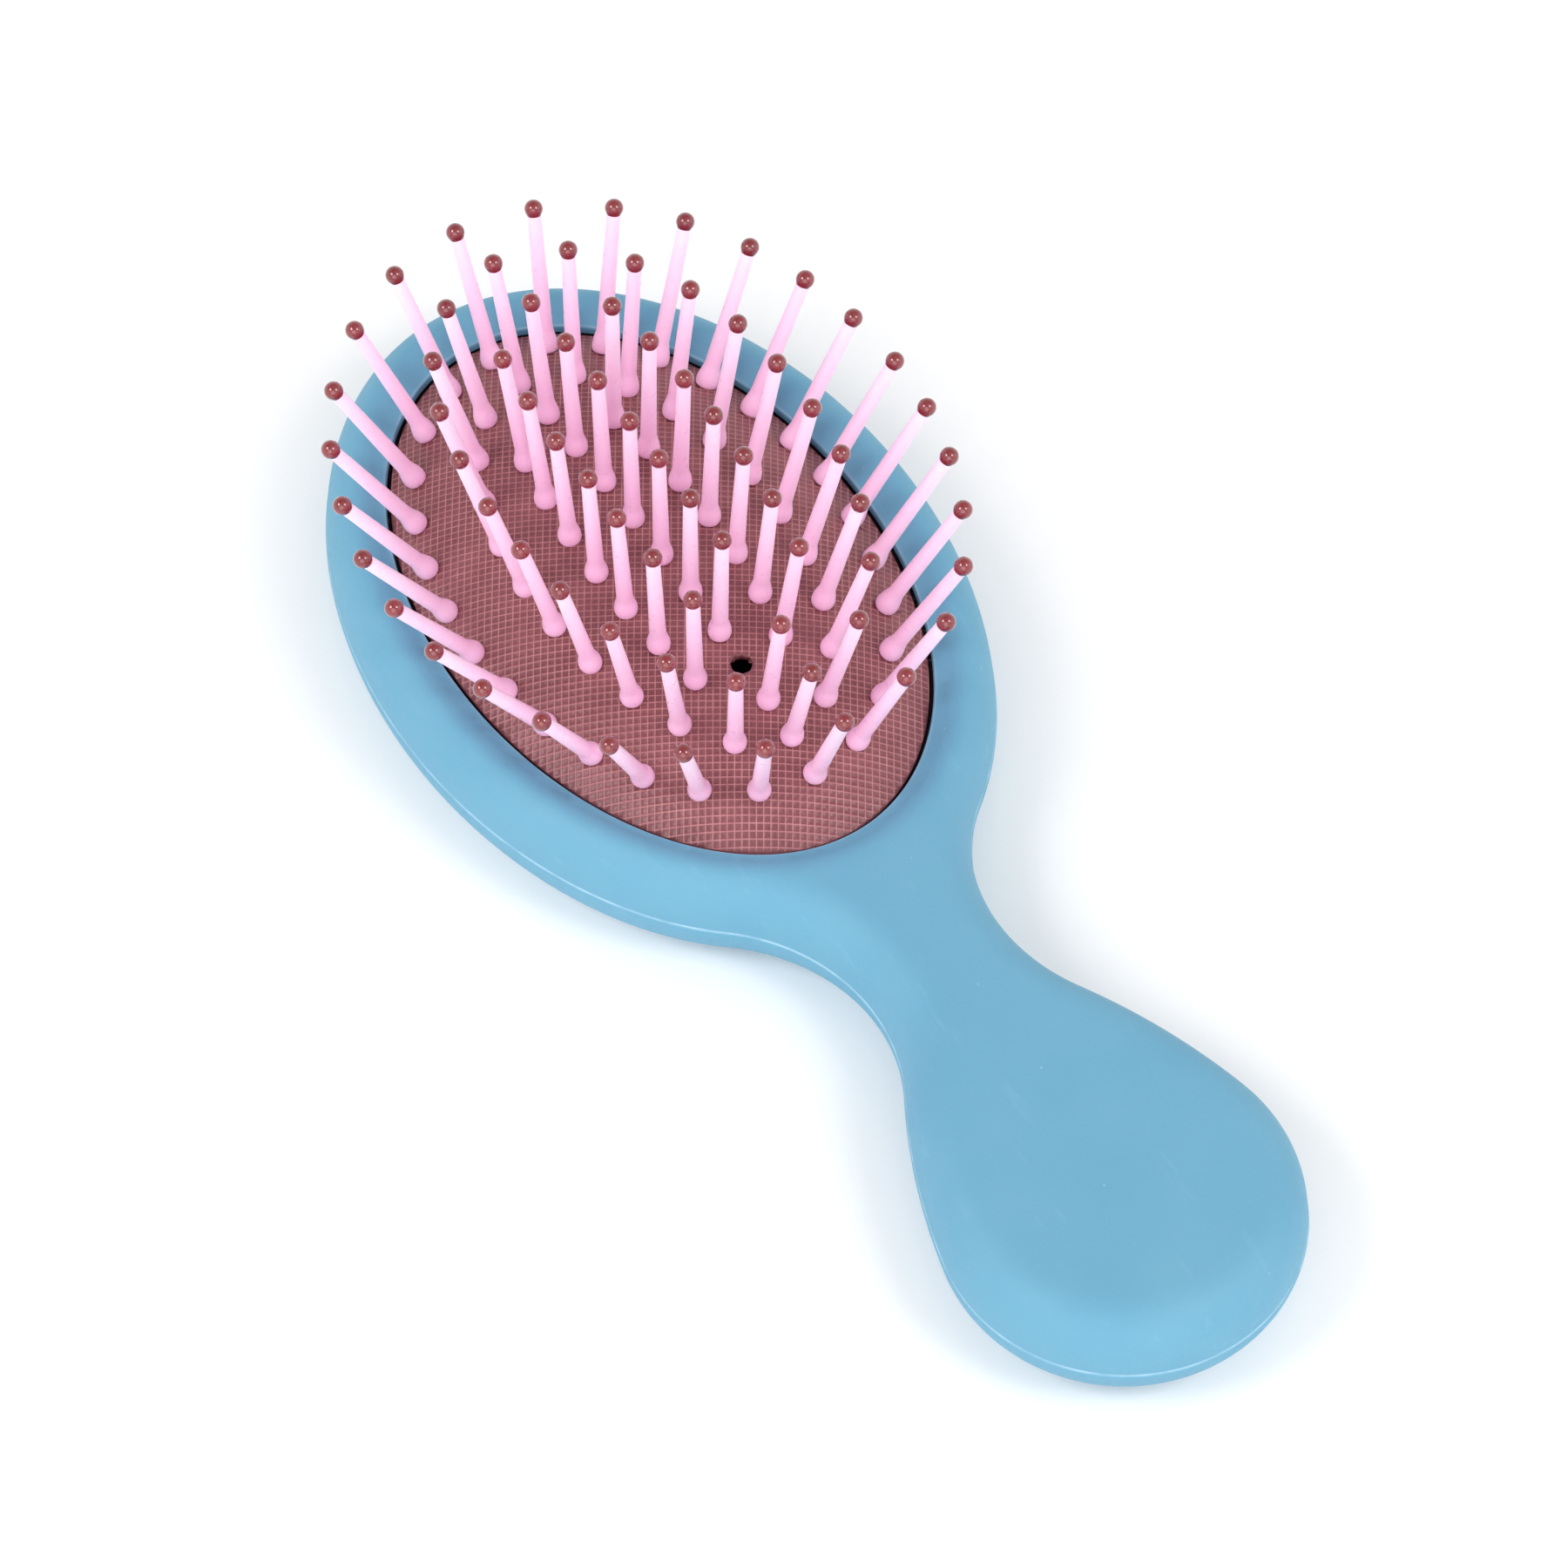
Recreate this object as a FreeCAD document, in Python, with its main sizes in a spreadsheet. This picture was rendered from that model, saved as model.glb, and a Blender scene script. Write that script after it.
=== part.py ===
import FreeCAD, Part
import math
import os
import Sketcher
from FreeCAD import Placement, Rotation, Vector

# Small oval pin brush lying on its back: +X to the right, +Y towards the head, +Z up out of the pins.
# Each piece is drawn about the middle of the head with Z = 0 on the parting plane of the two shells,
# and is then placed in the part's frame, whose origin is the middle of the brush at its lowest level.

doc = FreeCAD.newDocument("pin_brush")

# ---------------------------------------------------------------- driving dimensions, millimetres
DIMENSIONS = {
    "head_half_width": 26.9,
    "head_half_length": 38.3,
    "rim_width": 5.85,
    "neck_half_width": 6.94,
    "neck_radius": 17.85,
    "flank_radius": 59.6,
    "bulb_radius": 16.1,
    "bulb_distance": 75.6,
    "front_height": 5.7,
    "front_round": 5.2,
    "back_depth": 6.4,
    "back_round": 6.2,
    "wall": 2.2,
    "lip_chamfer": 0.55,
    "tongue_inset": 1.0,
    "tongue_thickness": 0.8,
    "tongue_height": 1.0,
    "tongue_clearance": 0.05,
    "boss_radius": 2.2,
    "socket_radius": 1.05,
    "peg_radius": 1.0,
    "peg_height": 2.0,
    "peg_clearance": 0.2,
    "support_inset": 3.4,
    "support_thickness": 1.6,
    "support_top": 0.6,
    "clamp_inset": 3.3,
    "clamp_width": 2.9,
    "clamp_top": 2.25,
    "flange_inset": 4.4,
    "flange_bottom": 2.3,
    "flange_top": 3.3,
    "pad_gap": 0.25,
    "pad_edge_height": 3.6,
    "dome_rise": 5.43,
    "pad_thickness": 1.2,
    "vent_radius": 1.0,
    "vent_offset": 14.4,
    "pin_length": 14.5,
    "pin_foot_radius": 1.08,
    "pin_foot_edge_radius": 0.9,
    "pin_foot_bottom": 0.05,
    "pin_foot_widest": 0.55,
    "pin_foot_top": 2.1,
    "pin_root_radius": 0.76,
    "pin_end_radius": 0.63,
    "pin_neck_radius": 0.65,
    "pin_hole_radius": 0.70,
    "pin_head_radius": 1.1,
    "pin_head_height": 0.8,
    "pin_head_gap": 0.15,
    "spigot_radius": 0.35,
    "spigot_length": 0.45,
    "spigot_clearance": 0.02,
    "spigot_end_gap": 0.03,
    "ball_radius": 0.86,
    "ball_flat_drop": 0.6,
    "outer_ring_half_width": 18.3,
    "outer_ring_half_length": 27.65,
    "outer_ring_middle": 1.15,
    "outer_ring_pins": 28,
    "middle_ring_half_width": 11.8,
    "middle_ring_half_length": 23.3,
    "middle_ring_middle": 0.6,
    "middle_ring_pins": 22,
    "inner_row_half_width": 5.9,
    "inner_row_half_length": 22.4,
    "inner_row_middle": 1.0,
    "inner_row_first": 15.0,
    "inner_row_pitch": 4.8,
    "inner_row_pins": 7,
    "line_end": 18.8,
    "line_pitch": 4.92,
    "line_pins": 7,
}

# The dome falls away from its middle as 1 - t ** DOME_POWER, where t is 0 at the middle, 1 at the rim.
DOME_POWER = 3.2

# Bosses that join the shells, along the middle line of the handle.
BOSS_STATIONS = (-50.0, -64.0, -80.0)

sheet = doc.addObject("Spreadsheet::Sheet", "sizes")
for row, (alias, value) in enumerate(DIMENSIONS.items(), start=1):
    sheet.set(f"A{row}", alias)
    sheet.set(f"B{row}", str(value))
    sheet.setAlias(f"B{row}", alias)
doc.recompute()


def size(alias):
    """A driving dimension, read back from the sheet."""
    return float(getattr(sheet, alias))


# The part's frame: the middle of the whole length, at the level of the flat back.
HEAD_Y = (size("bulb_distance") + size("bulb_radius") - size("head_half_length")) / 2
FRAME = Placement(Vector(0, HEAD_Y, size("back_depth")), Rotation())


# ---------------------------------------------------------------- helpers for the shells
def bind(thing, **expressions):
    """Bind properties of an object to expressions of the sheet."""
    for name, expression in expressions.items():
        thing.setExpression(name, expression)
    return thing


def oval_block(name, inset, bottom, height):
    """An upright block whose outline is the head's oval, drawn in by an inset."""
    oval = doc.addObject("Part::Ellipse", f"{name}_oval")
    oval.Placement = Placement(Vector(0, 0, 0), Rotation(Vector(0, 0, 1), 90))
    bind(oval, MajorRadius=f"sizes.head_half_length - ({inset})")
    bind(oval, MinorRadius=f"sizes.head_half_width - ({inset})")
    oval.setExpression("Placement.Base.z", bottom)
    block = doc.addObject("Part::Extrusion", name)
    block.Base = oval
    block.DirMode = "Custom"
    block.Dir = Vector(0, 0, 1)
    block.Solid = True
    bind(block, LengthFwd=height)
    return block


def oval_ring(name, inset, width, bottom, height):
    """A band of constant width that follows the head's oval."""
    outer = oval_block(f"{name}_outer", inset, bottom, height)
    inner = oval_block(f"{name}_inner", f"{inset} + {width}", f"{bottom} - 1", f"{height} + 2")
    return cut(name, outer, inner)


def cylinder(name, radius, bottom, height, y):
    """An upright cylinder on the middle line of the brush."""
    post = doc.addObject("Part::Cylinder", name)
    post.Placement = Placement(Vector(0, y, 0), Rotation())
    bind(post, Radius=radius, Height=height)
    post.setExpression("Placement.Base.z", bottom)
    return post


def cut(name, base, tool):
    """Base with tool taken away."""
    result = doc.addObject("Part::Cut", name)
    result.Base = base
    result.Tool = tool
    return result


def fuse(name, pieces):
    """Several blocks joined into one."""
    result = doc.addObject("Part::MultiFuse", name)
    result.Shapes = pieces
    return result


def neck_start(inset):
    """Where the neck's arc leaves the head's oval, the centre of that arc, and the normal there.

    The arc's centre stands neck_half_width + neck_radius off the middle line at any inset.
    """
    half_width = size("head_half_width") - inset
    half_length = size("head_half_length") - inset
    neck_radius = size("neck_radius") + inset
    centre_x = size("neck_half_width") + size("neck_radius")
    low, high = -math.pi / 2, 0.0
    for _ in range(60):
        angle = (low + high) / 2
        point = Vector(half_width * math.cos(angle), half_length * math.sin(angle), 0)
        normal = Vector(math.cos(angle) / half_width, math.sin(angle) / half_length, 0).normalize()
        if point.x + normal.x * neck_radius < centre_x:
            low = angle
        else:
            high = angle
    return point, point + normal * neck_radius


def handle_arcs(inset):
    """Right side of the handle's outline, drawn in by an inset.

    Returns the corner points and the middle points of its three arcs, from the head to the end.
    """
    first, neck_centre = neck_start(inset)
    neck_radius = size("neck_radius") + inset
    flank_radius = size("flank_radius") - inset
    bulb_radius = size("bulb_radius") - inset
    bulb_centre = Vector(0, -size("bulb_distance"), 0)
    # The flank's circle touches the neck's from outside and holds the bulb's inside itself.
    to_neck = flank_radius + neck_radius
    to_bulb = flank_radius - bulb_radius
    base = neck_centre - bulb_centre
    along = (to_bulb ** 2 - to_neck ** 2 + base.Length ** 2) / (2 * base.Length)
    aside = math.sqrt(to_bulb ** 2 - along ** 2)
    unit = Vector(base).normalize()
    side = Vector(-unit.y, unit.x, 0)
    flank_centre = bulb_centre + unit * along + side * aside
    to_flank = (flank_centre - neck_centre).normalize()
    neck_end = neck_centre + to_flank * neck_radius
    outward = (bulb_centre - flank_centre).normalize()
    flank_end = bulb_centre + outward * bulb_radius
    neck_mid = neck_centre + ((first + neck_end) * 0.5 - neck_centre).normalize() * neck_radius
    flank_mid = flank_centre + ((neck_end + flank_end) * 0.5 - flank_centre).normalize() * flank_radius
    bulb_end = bulb_centre - Vector(0, bulb_radius, 0)
    return first, neck_mid, neck_end, flank_mid, flank_end, bulb_end


def mirrored(point):
    """The same point on the left side."""
    return Vector(-point.x, point.y, point.z)


def outline_body(name, inset_alias, height, downwards, rounding):
    """The brush's outline, drawn in by a dimension if one is named, padded, its face edge rounded."""
    inset = size(inset_alias) if inset_alias else 0
    inset_term = f"sizes.{inset_alias}" if inset_alias else "0"
    body = doc.addObject("PartDesign::Body", name)
    sketch = body.newObject("Sketcher::SketchObject", f"{name}_outline")
    planes = {origin.Role: origin for origin in body.Origin.OriginFeatures}
    sketch.AttachmentSupport = [(planes["XY_Plane"], "")]
    sketch.MapMode = "FlatFace"

    first, neck_mid, neck_end, flank_mid, flank_end, bulb_end = handle_arcs(inset)
    curves = [
        Part.Arc(first, neck_mid, neck_end),
        Part.Arc(neck_end, flank_mid, flank_end),
        Part.Arc(flank_end, bulb_end, mirrored(flank_end)),
        Part.Arc(mirrored(flank_end), mirrored(flank_mid), mirrored(neck_end)),
        Part.Arc(mirrored(neck_end), mirrored(neck_mid), mirrored(first)),
    ]
    top = Vector(0, size("head_half_length") - inset, 0)
    side = Vector(size("head_half_width") - inset, 0, 0)
    oval = Part.Ellipse(top, side, Vector(0, 0, 0))
    over_the_top = oval.parameter(first) + 2 * math.pi
    curves.append(Part.ArcOfEllipse(oval, oval.parameter(mirrored(first)), over_the_top))
    sketch.addGeometry(curves, False)
    radii = (
        f"sizes.neck_radius + {inset_term}",
        f"sizes.flank_radius - {inset_term}",
        f"sizes.bulb_radius - {inset_term}",
    )
    for index, expression in enumerate(radii):
        radius = sketch.Geometry[index].Radius
        constraint = sketch.addConstraint(Sketcher.Constraint("Radius", index, radius))
        sketch.setExpression(f"Constraints[{constraint}]", expression)

    pad = body.newObject("PartDesign::Pad", f"{name}_pad")
    pad.Profile = sketch
    pad.Reversed = downwards
    bind(pad, Length=height)
    doc.recompute()
    far = pad.Shape.BoundBox.ZMin if downwards else pad.Shape.BoundBox.ZMax
    edges = [
        f"Edge{number}"
        for number, edge in enumerate(pad.Shape.Edges, start=1)
        if abs(edge.BoundBox.ZMin - far) < 1e-3 and abs(edge.BoundBox.ZMax - far) < 1e-3
    ]
    fillet = body.newObject("PartDesign::Fillet", f"{name}_fillet")
    fillet.Base = (pad, edges)
    bind(fillet, Radius=rounding)
    body.Tip = fillet
    return body


# ---------------------------------------------------------------- the two shells
def make_front_shell():
    """Frame round the cushion and upper half of the handle, hollow underneath."""
    blank = outline_body("front_blank", None, "sizes.front_height", False, "sizes.front_round")
    hollow = outline_body("front_hollow", "wall", "sizes.front_height - sizes.wall + 1",
                          False, "sizes.front_round - sizes.wall")
    hollow.Placement = Placement(Vector(0, 0, -1), Rotation())
    skin = cut("front_skin", blank, hollow)

    bosses = []
    sockets = []
    for number, y in enumerate(BOSS_STATIONS, start=1):
        rise = "sizes.front_height - sizes.wall / 2"
        bosses.append(cylinder(f"front_boss_{number}", "sizes.boss_radius", "0", rise, y))
        deep = "1 + sizes.peg_height + sizes.peg_clearance"
        sockets.append(cylinder(f"front_socket_{number}", "sizes.socket_radius", "-1", deep, y))
    bossed = fuse("front_bossed", [skin] + bosses)
    opening = oval_block("front_opening", "sizes.rim_width", "-1", "sizes.front_height + 2")
    groove = oval_ring("front_groove", "sizes.tongue_inset - sizes.tongue_clearance",
                       "sizes.tongue_thickness + 2 * sizes.tongue_clearance",
                       "-1", "1 + sizes.tongue_height + 2 * sizes.tongue_clearance")
    shell = cut("front_open", bossed, fuse("front_cutters", [opening, groove] + sockets))
    doc.recompute()

    lip_half_length = size("head_half_length") - size("rim_width")
    lip = doc.addObject("Part::Chamfer", "front_shell")
    lip.Base = shell
    lip.Edges = [
        (number, size("lip_chamfer"), size("lip_chamfer"))
        for number, edge in enumerate(shell.Shape.Edges, start=1)
        if abs(edge.BoundBox.ZMin - size("front_height")) < 1e-3
        and abs(edge.BoundBox.YMax - lip_half_length) < 1e-2
    ]
    return lip


def make_back_shell():
    """Back cover of the head and lower half of the handle, with the wall that carries the clamp."""
    blank = outline_body("back_blank", None, "sizes.back_depth", True, "sizes.back_round")
    hollow = outline_body("back_hollow", "wall", "sizes.back_depth - sizes.wall + 1",
                          True, "sizes.back_round - sizes.wall")
    hollow.Placement = Placement(Vector(0, 0, 1), Rotation())
    skin = cut("back_skin", blank, hollow)

    pieces = [skin]
    for number, y in enumerate(BOSS_STATIONS, start=1):
        bottom = "sizes.wall / 2 - sizes.back_depth"
        rise = "sizes.back_depth - sizes.wall / 2"
        pieces.append(cylinder(f"back_boss_{number}", "sizes.boss_radius", bottom, rise, y))
        height = "sizes.peg_height + 1"
        pieces.append(cylinder(f"back_peg_{number}", "sizes.peg_radius", "-1", height, y))
    pieces.append(oval_ring("back_support", "sizes.support_inset", "sizes.support_thickness",
                            "sizes.wall - sizes.back_depth - 0.5",
                            "sizes.back_depth - sizes.wall + 0.5 + sizes.support_top"))
    pieces.append(oval_ring("back_tongue", "sizes.tongue_inset", "sizes.tongue_thickness",
                            "-1", "sizes.tongue_height + 1"))
    return fuse("back_shell", pieces)


def make_clamp_ring():
    """Ring that presses the cushion's flange up against the frame."""
    return oval_ring("clamp_ring", "sizes.clamp_inset", "sizes.clamp_width",
                     "sizes.support_top", "sizes.clamp_top - sizes.support_top")


# ---------------------------------------------------------------- the air cushion
DOME_POINTS = 14


def dome_half_sizes():
    """Half width and half length of the dome, just inside the frame's opening."""
    inset = size("rim_width") + size("pad_gap")
    return size("head_half_width") - inset, size("head_half_length") - inset


def dome_height(x, y):
    """Height of the cushion's top surface above the parting plane."""
    half_width, half_length = dome_half_sizes()
    t = math.hypot(x / half_width, y / half_length)
    return size("pad_edge_height") + size("dome_rise") * (1 - t ** DOME_POWER)


def dome_normal(x, y):
    """Unit normal of the cushion's top surface."""
    half_width, half_length = dome_half_sizes()
    t = math.hypot(x / half_width, y / half_length)
    steepness = size("dome_rise") * DOME_POWER * t ** (DOME_POWER - 2)
    return Vector(steepness * x / half_width ** 2, steepness * y / half_length ** 2, 1).normalize()


def dome_solid(edge_height, bottom):
    """A solid under the dome: a turned profile stretched along the brush into an oval."""
    half_width, half_length = dome_half_sizes()
    points = []
    for step in range(DOME_POINTS + 1):
        t = step / DOME_POINTS
        z = edge_height + size("dome_rise") * (1 - t ** DOME_POWER)
        points.append(Vector(half_width * t, 0, z))
    crown = Part.BSplineCurve()
    crown.interpolate(Points=points, InitialTangent=Vector(1, 0, 0),
                      FinalTangent=Vector(half_width, 0, -DOME_POWER * size("dome_rise")))
    corner = Vector(half_width, 0, bottom)
    foot = Vector(0, 0, bottom)
    edges = [
        crown.toShape(),
        Part.makeLine(points[-1], corner),
        Part.makeLine(corner, foot),
        Part.makeLine(foot, points[0]),
    ]
    turned = Part.Face(Part.Wire(edges)).revolve(Vector(0, 0, 0), Vector(0, 0, 1), 360)
    stretch = FreeCAD.Matrix()
    stretch.scale(Vector(1, half_length / half_width, 1))
    return turned.transformGeometry(stretch)


def oval_plate(inset, bottom, top):
    """A flat oval plate, following the head."""
    half_length = size("head_half_length") - inset
    half_width = size("head_half_width") - inset
    oval = Part.Ellipse(Vector(0, 0, bottom), half_length, half_width)
    face = Part.Face(Part.Wire(oval.toShape()))
    face.rotate(Vector(0, 0, 0), Vector(0, 0, 1), 90)
    return face.extrude(Vector(0, 0, top - bottom))


def make_cushion_pad(pins):
    """Domed rubber pad with a flange, a hole for every pin, and the air vent."""
    outer = dome_solid(size("pad_edge_height"), size("flange_bottom"))
    flange = oval_plate(size("flange_inset"), size("flange_bottom"), size("flange_top"))
    inner = dome_solid(size("pad_edge_height") - size("pad_thickness"), 0.0)
    shape = outer.fuse(flange).cut(inner)
    solid_volume = shape.Volume
    below = 3.0
    drill_length = 5.0
    drills = []
    for x, y in pins:
        normal = dome_normal(x, y)
        start = Vector(x, y, dome_height(x, y)) - normal * below
        drills.append(Part.makeCylinder(size("pin_hole_radius"), drill_length, start, normal))
    vent_z = dome_height(0, -size("vent_offset"))
    vent = Vector(0, -size("vent_offset"), vent_z - below)
    drills.append(Part.makeCylinder(size("vent_radius"), drill_length, vent))
    shape = shape.cut(Part.makeCompound(drills))
    if shape.Volume >= solid_volume:
        raise RuntimeError("the cushion's holes cut nothing")
    pad = doc.addObject("Part::Feature", "cushion_pad")
    pad.Shape = shape.Solids[0]
    return pad


# ---------------------------------------------------------------- pins and their ball tips
# How far the foot's two arcs bow out, as shares of the change in radius that each one spans.
BELLY_BULGE = 0.7
FLARE_BULGE = 0.62


def make_pin():
    """One turned pin: head under the cushion, neck through it, foot on it, tapered shaft, spigot."""
    body = doc.addObject("PartDesign::Body", "pin")
    sketch = body.newObject("Sketcher::SketchObject", "pin_profile")
    planes = {origin.Role: origin for origin in body.Origin.OriginFeatures}
    sketch.AttachmentSupport = [(planes["XZ_Plane"], "")]
    sketch.MapMode = "FlatFace"
    head_top = -(size("pad_thickness") + size("pin_head_gap"))
    head_bottom = head_top - size("pin_head_height")
    head = size("pin_head_radius")
    neck = size("pin_neck_radius")
    foot = size("pin_foot_radius")
    foot_edge = size("pin_foot_edge_radius")
    foot_bottom = size("pin_foot_bottom")
    foot_widest = size("pin_foot_widest")
    foot_top = size("pin_foot_top")
    root = size("pin_root_radius")
    end = size("pin_end_radius")
    shoulder = size("pin_length") - size("ball_flat_drop")
    spigot = size("spigot_radius")
    spigot_end = shoulder + size("spigot_length")
    # The foot swells as a quarter circle would, then narrows to the shaft in a shallow arc.
    belly_x = foot_edge + (foot - foot_edge) * BELLY_BULGE
    belly_z = foot_bottom + (foot_widest - foot_bottom) * (1 - BELLY_BULGE)
    flare_x = root + (foot - root) * FLARE_BULGE
    flare_z = (foot_widest + foot_top) / 2
    shaft = [(root, foot_top), (end, shoulder), (spigot, shoulder), (spigot, spigot_end),
             (0, spigot_end), (0, head_bottom), (head, head_bottom), (head, head_top),
             (neck, head_top), (neck, foot_bottom), (foot_edge, foot_bottom)]
    corners = [Vector(x, z, 0) for x, z in shaft]
    widest = Vector(foot, foot_widest, 0)
    curves = [Part.LineSegment(a, b) for a, b in zip(corners, corners[1:])] + [
        Part.Arc(corners[-1], Vector(belly_x, belly_z, 0), widest),
        Part.Arc(widest, Vector(flare_x, flare_z, 0), corners[0]),
    ]
    sketch.addGeometry(curves, False)
    turned = body.newObject("PartDesign::Revolution", "pin_turned")
    turned.Profile = sketch
    turned.ReferenceAxis = (sketch, ["V_Axis"])
    turned.Angle = 360
    body.Tip = turned
    return body


def make_ball():
    """One ball tip, with a flat where it meets the pin and a socket for the pin's spigot."""
    ball = doc.addObject("Part::Sphere", "ball_blank")
    bind(ball, Radius="sizes.ball_radius")
    ball.setExpression("Placement.Base.z", "sizes.pin_length")
    flat = doc.addObject("Part::Cylinder", "ball_flat")
    bind(flat, Radius="sizes.ball_radius * 2", Height="sizes.ball_radius")
    flat_level = "sizes.pin_length - sizes.ball_flat_drop"
    flat.setExpression("Placement.Base.z", f"{flat_level} - sizes.ball_radius")
    socket = doc.addObject("Part::Cylinder", "ball_socket")
    bind(socket, Radius="sizes.spigot_radius + sizes.spigot_clearance")
    bind(socket, Height="1 + sizes.spigot_length + sizes.spigot_end_gap")
    socket.setExpression("Placement.Base.z", f"{flat_level} - 1")
    return cut("ball", ball, fuse("ball_cutters", [flat, socket]))


def half_ring(name):
    """Right half of a ring of evenly spaced pins, from the head's end to the handle's."""
    middle = size(f"{name}_middle")
    top = Vector(0, middle + size(f"{name}_half_length"), 0)
    side = Vector(size(f"{name}_half_width"), middle, 0)
    oval = Part.Ellipse(top, side, Vector(0, middle, 0)).toShape()
    count = round(size(f"{name}_pins"))
    points = oval.discretize(Number=count + 1)
    return [(point.x, point.y) for point in points[:count // 2 + 1]]


def inner_row():
    """Right row of pins beside the middle line, at an even pitch along the brush."""
    points = []
    for number in range(round(size("inner_row_pins"))):
        y = size("inner_row_first") - number * size("inner_row_pitch")
        share = (y - size("inner_row_middle")) / size("inner_row_half_length")
        points.append((size("inner_row_half_width") * math.sqrt(1 - share ** 2), y))
    return points


def middle_line():
    """Pins on the middle line: an even row from the head's end, the vent, then one more pin."""
    pins = range(round(size("line_pins")))
    row = [(0.0, size("line_end") - number * size("line_pitch")) for number in pins]
    return row + [(0.0, -size("line_end"))]


def on_side(points, side):
    """The same points on the right for a side of 1, and on the left for -1."""
    return [(side * x, y) for x, y in points]


def pin_groups():
    """Name of each group of pins that flexes together, and where its pins stand."""
    outer = half_ring("outer_ring")
    middle = half_ring("middle_ring")
    groups = {"centre": middle[:1] + middle_line() + middle[-1:]}
    for side, word in ((-1, "left"), (1, "right")):
        groups[f"inner_{word}"] = on_side(inner_row() + [middle[1], middle[-2]], side)
        groups[f"middle_{word}"] = on_side(middle[2:-2], side)
        groups[f"outer_{word}_upper"] = on_side(outer[3:6], side)
        groups[f"outer_{word}_middle"] = on_side(outer[6:9], side)
        groups[f"outer_{word}_lower"] = on_side(outer[9:12], side)
    groups["outer_top"] = on_side(outer[1:3], -1) + outer[:3]
    groups["outer_bottom"] = on_side(outer[12:14], -1) + outer[12:]
    return groups


def stand_copies(name, master, points):
    """A copy of the master, square to the cushion, at each point."""
    copies = []
    for x, y in points:
        place = Placement(Vector(x, y, dome_height(x, y)), Rotation(Vector(0, 0, 1), dome_normal(x, y)))
        copies.append(master.Shape.transformed(place.toMatrix(), copy=True))
    group = doc.addObject("Part::Feature", name)
    group.Shape = Part.makeCompound(copies)
    return group


# ---------------------------------------------------------------- the whole brush
groups = pin_groups()
every_pin = [point for points in groups.values() for point in points]
subparts = [make_front_shell(), make_back_shell(), make_clamp_ring(), make_cushion_pad(every_pin)]
pin = make_pin()
ball = make_ball()
doc.recompute()
for group, points in groups.items():
    subparts.append(stand_copies(f"pins_{group}", pin, points))
    subparts.append(stand_copies(f"balls_{group}", ball, points))
for subpart in subparts:
    subpart.Label = subpart.Name
    subpart.Placement = FRAME
doc.recompute()

for thing in doc.Objects:
    if "Invalid" in thing.State or "Error" in thing.State:
        raise RuntimeError(f"{thing.Name} failed: {thing.State}")
os.makedirs("parts", exist_ok=True)
for subpart in subparts:
    shape = subpart.Shape
    if shape.isNull() or not shape.isValid():
        raise RuntimeError(f"{subpart.Label} has no valid shape")
    shape.exportStep(f"parts/{subpart.Label}.step")
    box = shape.BoundBox
    print(f"{subpart.Label}: {len(shape.Solids)} solids, {shape.Volume:.1f} mm3, "
          f"x {box.XMin:.2f}..{box.XMax:.2f} y {box.YMin:.2f}..{box.YMax:.2f} "
          f"z {box.ZMin:.2f}..{box.ZMax:.2f}")
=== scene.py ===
import math

import bmesh
import bpy
import numpy as np
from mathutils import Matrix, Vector
from mathutils.geometry import delaunay_2d_cdt


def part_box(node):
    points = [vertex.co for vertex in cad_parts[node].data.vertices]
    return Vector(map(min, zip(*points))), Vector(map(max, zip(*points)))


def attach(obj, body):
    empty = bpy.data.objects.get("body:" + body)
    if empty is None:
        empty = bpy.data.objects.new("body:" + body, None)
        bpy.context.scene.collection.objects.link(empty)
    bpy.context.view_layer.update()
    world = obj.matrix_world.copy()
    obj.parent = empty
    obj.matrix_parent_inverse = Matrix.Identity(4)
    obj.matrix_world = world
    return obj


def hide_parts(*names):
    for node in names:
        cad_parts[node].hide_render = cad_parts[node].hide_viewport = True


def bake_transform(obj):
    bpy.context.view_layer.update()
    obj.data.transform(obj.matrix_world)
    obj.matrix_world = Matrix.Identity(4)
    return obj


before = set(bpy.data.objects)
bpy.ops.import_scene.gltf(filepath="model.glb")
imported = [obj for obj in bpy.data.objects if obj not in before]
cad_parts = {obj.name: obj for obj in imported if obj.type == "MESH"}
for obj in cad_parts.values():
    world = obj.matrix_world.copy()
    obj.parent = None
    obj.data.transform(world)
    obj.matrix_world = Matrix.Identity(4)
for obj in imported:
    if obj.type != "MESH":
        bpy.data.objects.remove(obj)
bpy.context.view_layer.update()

# Looks of the small oval pin brush. Shapes are worked out in millimetres about the middle of the head,
# with Z = 0 on the parting plane of the two shells, and are put in the row frame when a mesh is made.
MM = 0.001

# ---------------------------------------------------------------- sizes that come from the frame
front_low, front_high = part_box("front_shell")
back_low, back_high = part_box("back_shell")
PARTING_Z = front_low[2] / MM
FRONT_RISE = front_high[2] / MM - PARTING_Z
BACK_DEPTH = PARTING_Z - back_low[2] / MM
HEAD_HALF_WIDTH = front_high[0] / MM

# ---------------------------------------------------------------- design sizes, millimetres
HEAD_HALF_LENGTH = 38.3
HEAD_Y = front_high[1] / MM - HEAD_HALF_LENGTH
RIM_WIDTH = 5.85
OPENING_HALF_WIDTH = HEAD_HALF_WIDTH - RIM_WIDTH
OPENING_HALF_LENGTH = HEAD_HALF_LENGTH - RIM_WIDTH
NECK_HALF_WIDTH = 6.94
NECK_RADIUS = 17.85
FLANK_RADIUS = 59.6
BULB_RADIUS = 16.1
BULB_DISTANCE = 75.6

# How far in from the outline a shell's face takes to level out, on the head and on the handle,
# and the two stations along the brush between which the first goes over into the second.
FRONT_REACH = (4.2, 4.8)
BACK_REACH = (5.2, 6.9)
REACH_CHANGE = (-20.0, -50.0)
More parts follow.
